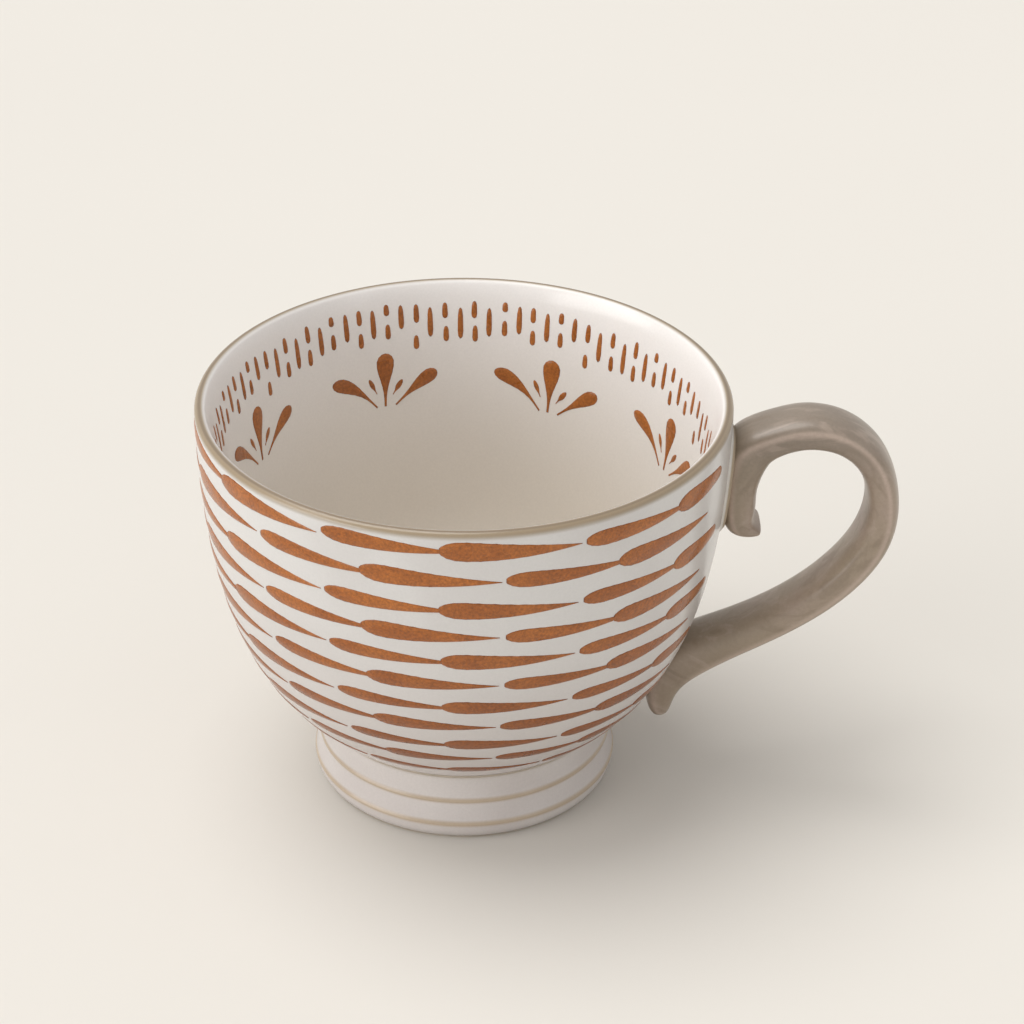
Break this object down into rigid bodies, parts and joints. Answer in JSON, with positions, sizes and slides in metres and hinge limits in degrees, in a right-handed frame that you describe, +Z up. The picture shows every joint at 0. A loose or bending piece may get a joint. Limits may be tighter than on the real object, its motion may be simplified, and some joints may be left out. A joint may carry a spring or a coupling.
{
  "type": "footed mug",
  "caption": "Footed drinking mug: deep round bowl on a hollow pedestal ring, with an open curled loop handle luted to one side.",
  "frame": {"origin": "middle of the whole mug's footprint, on the plane that it stands on; the bowl's axis is at x = -16.1 mm", "axes": "+X from the bowl towards the handle, +Z up out of the bowl, +Y across the handle"},
  "size_m": [0.1324, 0.1002, 0.0805],
  "materials": {
    "cream_glaze": "glossy cream glaze with rust orange brush strokes, tan where it breaks over the lip",
    "foot_glaze": "glossy warm white glaze with two fine tan rings",
    "greige_glaze": "glossy grey brown glaze, darker where it pools at the roots",
    "slip": "pale clay slip under thin glaze"
  },
  "bodies": {
    "root": {"bowl": "cream_glaze", "pedestal_foot": "foot_glaze", "foot_slip": "slip", "handle": "greige_glaze", "upper_handle_slip": "slip", "lower_handle_slip": "slip"}
  },
  "joints": []
}
